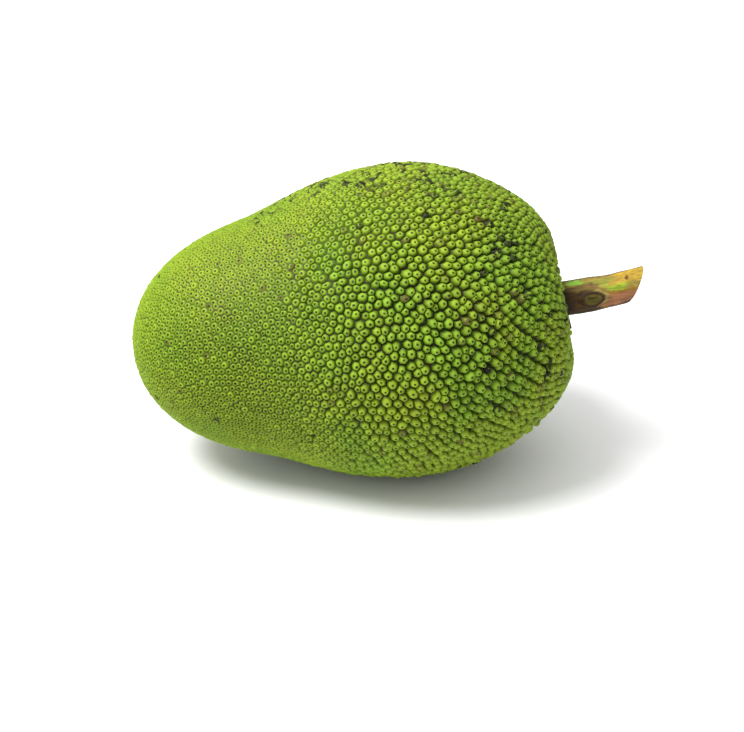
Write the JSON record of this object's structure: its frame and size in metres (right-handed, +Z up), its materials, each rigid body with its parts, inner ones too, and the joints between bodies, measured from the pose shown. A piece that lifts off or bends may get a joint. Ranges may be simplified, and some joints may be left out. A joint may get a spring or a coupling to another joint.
{
  "type": "jackfruit",
  "caption": "Whole unripe jackfruit with a knobbly green rind and a short cut stalk, lying on its side on a small flat spot.",
  "frame": {"origin": "on the resting surface, under the middle of the bounding box, inside the flat spot", "axes": "+X along the fruit towards the stalk, +Z up, +Y away from the side with the leaf scar"},
  "size_m": [0.396, 0.2482, 0.241],
  "materials": {
    "rind": "satin, waxy plant skin covered in blunt tubercles, yellow-green with dark grooves",
    "stalk": "matt green and ochre bark with brown patches, pale fibrous cut end",
    "dried_bract": "matt, dry and brown"
  },
  "bodies": {
    "root": {"fruit": "rind", "stem": "stalk", "dried_bract": "dried_bract"}
  },
  "joints": []
}
